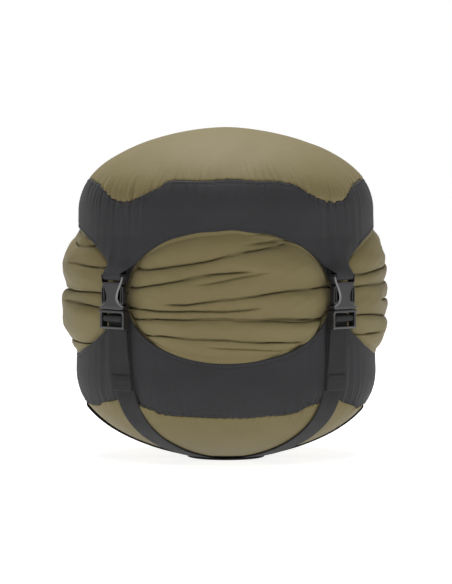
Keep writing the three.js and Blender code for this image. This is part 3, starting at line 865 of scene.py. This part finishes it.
def make_tail(strap, azimuth_at):
    """The tail goes behind the end bar, round the ladder bar and back, and ends in a folded hem."""
    hem_front, fold = TAIL_MIDDLE + WEBBING, TAIL_FOOT + WEBBING / 2
    path = [
        (TAIL_MIDDLE + 0.1, TAIL_FOOT + TAIL_HEM), (TAIL_MIDDLE + 0.5, TAIL_FOOT + 8),
        (hem_front - 0.5, TAIL_FOOT + 2), (hem_front - 0.6, fold),
        (TAIL_MIDDLE - 0.5, fold), (TAIL_MIDDLE - 0.4, TAIL_FOOT + 2),
        (TAIL_MIDDLE, 100), (TAIL_MIDDLE, 121.9),
        (134.2, LOOP_FOOT), (LOOP_OUT, LOOP_FOOT), (LOOP_OUT, LOOP_TOP), (134, LOOP_TOP),
        (131.9, LOOP_TOP + 1.4),
    ]
    path = filleted(path, 1.6)
    dense = []
    for a, b in zip(path, path[1:]):
        pieces = max(1, int(np.hypot(b[0] - a[0], b[1] - a[1]) / 2.5))
        dense += [(mix(a[0], b[0], t), mix(a[1], b[1], t)) for t in np.arange(pieces) / pieces]
    dense.append(path[-1])
    frames = upright_frames(dense, azimuth_at)
    tail = webbing_strip(f"tail_webbing_{strap}", frames, WEBBING_WIDTH - 0.4)
    dress(tail, "webbing", f"male_{strap}", f"tail_strap_{strap}")
    runs = []
    for height in (TAIL_FOOT + 3, TAIL_FOOT + 7.5, TAIL_FOOT + 12):
        radial, across = ways(azimuth_at(height))
        lift = mix(TAIL_MIDDLE + 0.75, hem_front + 0.15, (TAIL_FOOT + TAIL_HEM - height) / TAIL_HEM)
        place = lift * radial + np.array([0, 0, height])
        runs.append([place + x * across for x in np.linspace(-9.2, 9.2, 30)])
    dress(stitches(f"tail_stitching_{strap}", runs, 2.3, 0.24), "webbing", f"male_{strap}")


TONGUE_HALF = 10.6
# How the petal's tip leaves the band, as (lift off the band, height), and then goes round the
# buckle's top bar, as (distance out, height)
HANGER_ROOT = [(-0.7, 197), (0.5, 190), (1.5, 184)]
HANGER_LOOP = [
    (130.7, 178), (133.4, 172.6), (136.6, 168.6), (138.8, 166.2), (139.5, 163.4), (138.9, 160.9),
    (136.2, 160.3), (133.4, 161.2), (131.4, 164.5), (129.8, 171), (128.0, 177),
]


def petal_half_width(z):
    """Half the width of an upper petal at a height."""
    across = WINDOW_HALF_ANGLE * np.sqrt(np.clip(1 - ((z - WINDOW_MIDDLE) / WINDOW_HALF_HEIGHT) ** 2, 0, 1))
    return (45 - across) / PER_RADIAN * UPPER_RADIUS


def make_hanger(strap, azimuth):
    """The tip of a petal, drawn out over the buckle's top bar and folded back behind it."""
    middle = float(azimuth)
    path = [(float(band_face("upper", middle, z)) + lift, z) for lift, z in HANGER_ROOT] + HANGER_LOOP
    line = np.array(smooth_line(path, 8))
    line_z = line[:, 1]
    bar_at = int(np.argmax(line[:, 0]))
    halves = np.where(line_z > 166.2, np.minimum(petal_half_width(line_z) + 0.2, 36), 0)
    half = np.maximum(halves, TONGUE_HALF)
    half[bar_at:] = TONGUE_HALF
    for _ in range(4):
        half[1:-1] = (half[:-2] + half[1:-1] + half[2:]) / 3
    hugging = smoothstep(line_z, 165, 178)
    hugging[bar_at:] = 0
    spread = np.linspace(-1, 1, 33)
    side = np.abs(spread)
    run = directions(line)
    front, back = [], []
    radial, across = ways(middle)
    for i, (out, z) in enumerate(line):
        x = spread * half[i]
        side_azimuth = middle + x / UPPER_RADIUS * PER_RADIAN
        skin = band_face("upper", side_azimuth, np.full_like(x, z))
        rise = (out - skin[16]) * (1 - side ** 3) - 0.7 * side ** 3
        hug = round_axis(skin + rise, side_azimuth, z)
        ripple = 0.25 * np.sin(spread * 7 + strap) * smoothstep(z, 163, 175)
        flat = (out + ripple)[:, None] * radial + x[:, None] * across + (0, 0, z)
        row = mix(flat, hug, hugging[i])
        way = -run[i, 1] * radial + (0, 0, run[i, 0])
        round_off = np.clip((np.abs(x) - half[i] + 0.6) / 0.6, 0, 1)
        edge = 0.55 * np.sqrt(np.clip(1 - round_off ** 2, 0.02, 1))[:, None]
        front.append(row + way * edge)
        back.append((row - way * edge)[::-1])
    points = np.concatenate([front, back], 1)
    x = np.concatenate([spread, spread[::-1]]) * half[:, None]
    hanger = tube(f"hanger_cloth_{strap}", points, x, lengths_along(line)[:, None], CHARCOAL)
    dress(hanger, "charcoal_cloth", "lid", f"hanger_loop_{strap}")


def make_base():
    """The round patch under the base, and the handle that runs over it from side to side."""
    edge = PATCH_TOP / 2
    turns = np.linspace(-math.pi / 2, math.pi / 2, 7)
    outline = [(0.2, 0.0), (12, 0.0), (24, 0.0)]
    outline += [(PATCH_RADIUS - edge + edge * math.cos(t), edge + edge * math.sin(t)) for t in turns]
    outline += [(24, PATCH_TOP), (12, PATCH_TOP), (0.2, PATCH_TOP)]
    outline = np.array(outline)
    points = round_axis(outline[:, :1], azimuths()[None, ::4], outline[:, 1:])
    patch = tube("base_patch_cloth", points, points[..., 0], points[..., 1], CHARCOAL)
    dress(patch, "charcoal_cloth", "base", "base_patch")
    ring = round_axis(30, np.linspace(0, 360, 200), 0.05)
    dress(stitches("base_patch_stitching", [ring], 2.4, 0.24), "charcoal_cloth", "base")

    halves = []
    for side in (90, -90):
        top = float(bottom_seam(np.array([float(side)]))[0]) + 1.5
        path = skin_path(lambda z: side, 1, top, 1.0)
        path[:, 0] -= 2.6 * smoothstep(path[:, 1], top - 5, top)
        halves.append(path * (1 if side == 90 else -1, 1))
    path = np.concatenate([halves[1][::-1], halves[0]])
    handle = webbing_strip("grab_handle_webbing", upright_frames(path, lambda z: 90))
    dress(handle, "webbing", "base", "grab_handle")


# ---- Stitching ----
def stitches(name, runs, pitch, thick):
    """Rows of stitches along lines of points, each stitch a short capsule that lies on the cloth."""
    rings = ((-1.0, 0.35), (-0.8, 0.85), (0, 1.0), (0.8, 0.85), (1.0, 0.35))
    turns = np.arange(6) * math.pi / 3
    points, faces = [], []
    for run in runs:
        run = np.array(run)
        lengths = lengths_along(run)
        count = max(1, int(lengths[-1] / pitch))
        middles = (np.arange(count) + 0.5) * lengths[-1] / count
        reach = 0.36 * pitch
        starts, ends = (
            np.stack([np.interp(middles + shift, lengths, run[:, axis]) for axis in range(3)], -1)
            for shift in (-reach, reach))
        for start, end in zip(starts, ends):
            way = (end - start) / max(np.linalg.norm(end - start), 1e-9)
            side = np.cross(way, (start + end) * (1, 1, 0) + (1e-6, 0, 0))
            side = side / np.linalg.norm(side)
            other = np.cross(way, side)
            first = len(points)
            for share, size in rings:
                centre = (start + end) / 2 + way * reach * share
                around = [math.cos(t) * side + math.sin(t) * other for t in turns]
                points.extend(centre + thick * size * spoke for spoke in around)
            for ring in range(4):
                for k in range(6):
                    a, b = first + ring * 6 + k, first + ring * 6 + (k + 1) % 6
                    faces.append([a, b, b + 6, a + 6])
            faces.append([first + k for k in range(6)][::-1])
            faces.append([first + 24 + k for k in range(6)])
    return outward(mesh_object(name, np.array(points), faces, THREAD))


def band_stitching(which, body):
    """A row of stitches along each edge of a band, a little in from the edge."""
    azimuth = np.arange(0, 360.01, 0.5)
    band = BANDS[which]
    runs = []
    for edge_at, inset in ((band["low"], 3.1), (band["high"], -3.1)):
        level = edge_at(azimuth) + inset
        if (inset > 0) == (which == "upper"):
            tip = UPPER_TIP if which == "upper" else LOWER_TIP
            open_edge = panel_angle(azimuth) < WINDOW_HALF_ANGLE - 1.5
            turns = np.where(np.diff(open_edge.astype(int)))[0] + 1
            lines = np.split(np.arange(len(azimuth)), turns)
            lines = [line for line in lines if open_edge[line[0]] and abs(level[line].mean() - tip) > 1]
        else:
            lines = [np.arange(len(azimuth))]
        for line in lines:
            r = band_face(which, azimuth[line], level[line]) + 0.05
            runs.append(round_axis(r, azimuth[line], level[line]))
    dress(stitches(f"{which}_band_stitching", runs, 3.0, 0.26), "charcoal_cloth", body)


# ---- Buckles ----
# They are drawn facing the front, with depths measured out from the buckle's back, and then turned
# to their straps.
SHELL_DEPTH = 7.6
FRAME_FACE = 6.6
HALF_TOP, HALF_MOUTH = 12.9, 14.3
SLOT_HALF, LADDER_HALF = 11.1, 12.2
SHOULDER_FOOT = 132.3
BAR_TOP, BAR_FOOT = 128.4, 126.2
END_BAR_TOP = 120.4
# The finger scoop in the right side of the shell, as [across, height] points
SCOOP = [
    (20, 163.4), (13.6, 162.8), (12.5, 160.5), (11.7, 157.8), (10.0, 154.5), (8.2, 151.0), (7.0, 147.5),
    (6.8, 144.8), (8.0, 141.8), (10.8, 139.4), (14.0, 138.1), (20, 137.6),
]
SCOOP_MIDDLE = 150
# The chamfer along the scoop's edge. Its faces are coloured with a paler copy of the acetal, a painted
# highlight.
LIP_CHAMFER, LIP_FLARE = 1.3, 1.11
# The right spring arm, and the dish in its pad
PRONG = [
    (8.4, 134.9), (11.4, 134.9), (11.7, 138.4), (12.7, 139.8), (13.2, 142.6), (13.25, 149.5),
    (12.8, 153.6), (11.7, 155.3), (10.6, 154.9), (9.9, 152.2), (9.6, 147.8), (9.5, 144.2), (9.4, 141.6),
    (9.1, 139.6), (8.8, 137.4),
]
PAD_DISH = [
    (10.3, 141.6), (11.9, 140.9), (12.4, 142.8), (12.45, 149.3), (12.0, 152.9), (10.9, 153.4), (10.5, 147.6),
]


def prism(points, low, high, sideways=False, wider=None):
    """A temporary prism. It stands out of the drawn outline, or runs across from a side view's outline.

    wider is the outline at its far end, where that differs: it cuts a chamfer, whose faces take a paler copy
    of the acetal as a painted highlight.
    """
    bm = bmesh.new()
    if sideways:
        ends = [[bm.verts.new((x, -(BUCKLE_BACK + a), b)) for a, b in points] for x in (low, high)]
    else:
        ends = [[bm.verts.new((a, -(BUCKLE_BACK + depth), b)) for a, b in outline]
                for outline, depth in ((points, low), (wider or points, high))]
    bm.faces.new(ends[0])
    bm.faces.new(ends[1][::-1])
    count = len(points)
    for i in range(count):
        j = (i + 1) % count
        bm.faces.new((ends[0][i], ends[1][i], ends[1][j], ends[0][j]))
    bmesh.ops.recalc_face_normals(bm, faces=bm.faces)
    for face in bm.faces:
        # Index 1 is the paler acetal copy, the painted highlight on the chamfer faces.
        face.material_index = 1 if wider else 0
    mesh = bpy.data.meshes.new("blank")
    bm.to_mesh(mesh)
    bm.free()
    mesh.materials.append(ACETAL)
    mesh.materials.append(ACETAL_PAINTED_HIGHLIGHT)
    return placed("blank", mesh)


def slots(half, *holes):
    """Cuts for moulded(), as wide each way as half. A hole is (low, high, corner radius, depths)."""
    cuts = []
    for low, high, radius, back, front in holes:
        corners = [(-half, low), (half, low), (half, high), (-half, high)]
        cuts.append(("DIFFERENCE", prism(filleted(corners, radius, 4, closed=True), back, front)))
    return cuts


def moulded(body, changes, bevel):
    """Joins, cuts and trims a body by its blanks, rounds the edges and gives back the finished mesh."""
    for operation, blank in changes:
        modifier = body.modifiers.new("change", "BOOLEAN")
        modifier.operation = operation
        modifier.object = blank
        modifier.solver = "EXACT"
        modifier.material_mode = "INDEX"
    rounding = body.modifiers.new("rounding", "BEVEL")
    rounding.width = bevel
    rounding.segments = 3
    rounding.limit_method = "ANGLE"
    rounding.angle_limit = math.radians(38)
    rounding.harden_normals = True
    body.data.polygons.foreach_set("use_smooth", [True] * len(body.data.polygons))
    for _, blank in changes:
        blank.data.polygons.foreach_set("use_smooth", [True] * len(blank.data.polygons))
    bpy.context.view_layer.update()
    seen = body.evaluated_get(bpy.context.evaluated_depsgraph_get())
    mesh = bpy.data.meshes.new_from_object(seen)
    for obj in [body] + [blank for _, blank in changes]:
        data = obj.data
        bpy.data.objects.remove(obj)
        bpy.data.meshes.remove(data)
    return mesh


def mirrored(points):
    return [(-x, z) for x, z in points][::-1]


def female_mesh():
    side = [(HALF_MOUTH - 0.3, SHELL_MOUTH), (HALF_MOUTH, 138.6), (13.3, 156), (HALF_TOP, SHELL_TOP)]
    body = prism(filleted(mirrored(side) + side, 1.4, 5, closed=True), 0, SHELL_DEPTH)
    profile = [
        (0, SHELL_MOUTH), (7.3, SHELL_MOUTH), (SHELL_DEPTH, 137), (SHELL_DEPTH, 156), (7.2, 161.5),
        (6.4, SHELL_TOP), (0.8, SHELL_TOP), (0, 162),
    ]
    cavity = [(-13.0, 134), (13.0, 134), (12.1, 150), (11.6, 156.2), (-11.6, 156.2), (-12.1, 150)]
    changes = [
        ("INTERSECT", prism(filleted(profile, 1.2, 4, closed=True), -20, 20, sideways=True)),
        ("DIFFERENCE", prism(cavity, 1.3, 6.3)),
        *slots(SLOT_HALF, (158, 161.6, 0.8, -2, 12), (160.8, 168, 0.3, 5.4, 12), (160.8, 168, 0.3, -2, 1.5)),
    ]
    for side in (1, -1):
        scoop, lip = scoop_line(side, 1.0), scoop_line(side, LIP_FLARE)
        changes.append(("DIFFERENCE", prism(scoop, -2, 12)))
        # This cut gives the chamfer's faces the paler acetal copy, a painted highlight along the scoop's
        # edge.
        changes.append(("DIFFERENCE", prism(scoop, SHELL_DEPTH - LIP_CHAMFER, SHELL_DEPTH + 0.3, wider=lip)))
    return moulded(body, changes, 0.42)


def scoop_line(side, size):
    """The edge of a finger scoop on one side, made larger about a point beside the shell."""
    line = [(20 + (x - 20) * size, SCOOP_MIDDLE + (z - SCOOP_MIDDLE) * size) for x, z in SCOOP]
    return smooth_line(line if side > 0 else mirrored(line), 3)


def male_mesh():
    top = SHELL_MOUTH - 0.3
    outline = [(-14.4, FRAME_FOOT), (14.4, FRAME_FOOT), (14.4, top), (-14.4, top)]
    body = prism(filleted(outline, 1.9, 5, closed=True), 0, SHELL_DEPTH)
    profile = [
        (0, FRAME_FOOT), (4.6, FRAME_FOOT), (FRAME_FACE, 119.2), (FRAME_FACE, 131.4),
        (7.3, 132.6), (7.3, top), (0, top),
    ]
    tongue = [(-2.9, 130), (2.9, 130), (2.7, 148), (1.6, 151), (-1.6, 151), (-2.7, 148)]
    changes = [
        ("INTERSECT", prism(filleted(profile, 0.9, 4, closed=True), -20, 20, sideways=True)),
        ("UNION", prism(tongue, 2.5, 5.1)),
        *slots(LADDER_HALF, (BAR_TOP, SHOULDER_FOOT, 0.7, -2, 12), (END_BAR_TOP, BAR_FOOT, 0.7, -2, 12),
               (BAR_FOOT - 0.6, BAR_TOP + 0.6, 0.3, 5.1, 12), (BAR_FOOT - 0.6, BAR_TOP + 0.6, 0.3, -2, 1.3)),
    ]
    return moulded(body, changes, 0.42)


def prong_mesh(side):
    outline, dish = (PRONG, PAD_DISH) if side > 0 else (mirrored(PRONG), mirrored(PAD_DISH))
    body = prism(filleted(outline, 0.9, 3, closed=True), 1.7, 6.2)
    changes = [("DIFFERENCE", prism(filleted(dish, 0.8, 3, closed=True), 5.0, 9))]
    return moulded(body, changes, 0.28)


def turned_copy(name, mesh, azimuth):
    copy = mesh.copy()
    copy.name = name
    copy.transform(Matrix.Rotation(math.radians(azimuth), 4, "Z") @ Matrix.Scale(0.001, 4))
    return placed(name, copy)


def make_buckles():
    kinds = {
        "female_shell": (female_mesh(), "lid"),
        "male_frame": (male_mesh(), "male_{}"),
        "prong_left": (prong_mesh(-1), "prong_left_{}"),
        "prong_right": (prong_mesh(1), "prong_right_{}"),
    }
    for strap, azimuth in STRAPS.items():
        for kind, (mesh, body) in kinds.items():
            piece = turned_copy(f"{kind}_moulding_{strap}", mesh, azimuth)
            dress(piece, "acetal", body.format(strap), f"{kind}_{strap}")
    for mesh, _ in kinds.values():
        bpy.data.meshes.remove(mesh)


# ---- Stage, light and camera ----
def area_light(name, place, aim, size, energy):
    data = bpy.data.lights.new(name, "AREA")
    if isinstance(size, tuple):
        data.shape = "RECTANGLE"
        data.size, data.size_y = size
    else:
        data.shape = "DISK"
        data.size = size
    data.energy = energy
    lamp = placed(name, data)
    lamp.location = place
    lamp.rotation_euler = (Vector(aim) - Vector(place)).to_track_quat("-Z", "Y").to_euler()


def make_stage():
    mesh = bpy.data.meshes.new("floor")
    reach = 30.0
    corners = [(-reach, -reach, 0), (reach, -reach, 0), (reach, reach, 0), (-reach, reach, 0)]
    mesh.from_pydata(corners, [], [(0, 1, 2, 3)])
    floor = placed("floor", mesh)
    look = Look("floor", (0.5, 0.5, 0.5), 0.9, 0.5)
    look.inputs["Emission Color"].default_value = (1, 1, 1, 1)
    look.inputs["Emission Strength"].default_value = 0.85
    floor.data.materials.append(look.material)
    scene = bpy.context.scene
    scene.view_settings.view_transform = "Standard"
    scene.world = bpy.data.worlds.new("studio")
    scene.world.use_nodes = True
    nodes, links = scene.world.node_tree.nodes, scene.world.node_tree.links
    way = nodes.new("ShaderNodeTexCoord").outputs["Generated"]
    height = nodes.new("ShaderNodeSeparateXYZ")
    links.new(way, height.inputs[0])
    ramp = nodes.new("ShaderNodeValToRGB")
    ramp.color_ramp.elements[0].position = 0.08
    ramp.color_ramp.elements[0].color = (1, 1, 1, 1)
    ramp.color_ramp.elements[1].position = 0.2
    ramp.color_ramp.elements[1].color = (0.265, 0.265, 0.265, 1)
    links.new(height.outputs["Z"], ramp.inputs["Fac"])
    links.new(ramp.outputs["Color"], nodes["Background"].inputs["Color"])
    area_light("overhead", (-0.1, 0.6, 2.1), (0, 0, 0.2), 1.0, 53)
    area_light("left_strip", (-1.75, -1.0, 0.7), (0, 0, 0.15), (0.12, 1.0), 0.7)
    area_light("right_strip", (1.75, -1.0, 0.7), (0, 0, 0.15), (0.12, 1.0), 1.7)
    area_light("front_box", (0, -1.5, 1.5), (0, 0, 0.2), 0.35, 8.5)


def make_camera():
    data = bpy.data.cameras.new("camera")
    camera = placed("camera", data)
    distance, elevation, azimuth = 2.43, math.radians(2.8), math.radians(-1.2)
    middle = Vector((0, 0, SACK_HEIGHT / 2000))
    level = math.cos(elevation)
    direction = Vector((math.sin(azimuth) * level, -math.cos(azimuth) * level, math.sin(elevation)))
    camera.location = middle + distance * direction
    camera.rotation_euler = (-direction).to_track_quat("-Z", "Y").to_euler()
    frame_height = 0.514
    data.sensor_fit = "VERTICAL"
    data.sensor_height = 36
    data.lens = 36 * distance / frame_height
    data.clip_end = 100
    bpy.context.scene.camera = camera


make_stage()
make_camera()
make_side_wall()
make_band("lower", "lower_band_cloth", "lower_band", "base")
make_band("upper", "upper_band_cloth", "upper_band", "lid")
make_dome("top_panel_cloth", True, "top_panel", "lid", 51)
make_dome("bottom_panel_cloth", False, "bottom_panel", "base", 61)
make_mouth()
make_base()
make_straps()
band_stitching("lower", "base")
band_stitching("upper", "lid")
make_buckles()
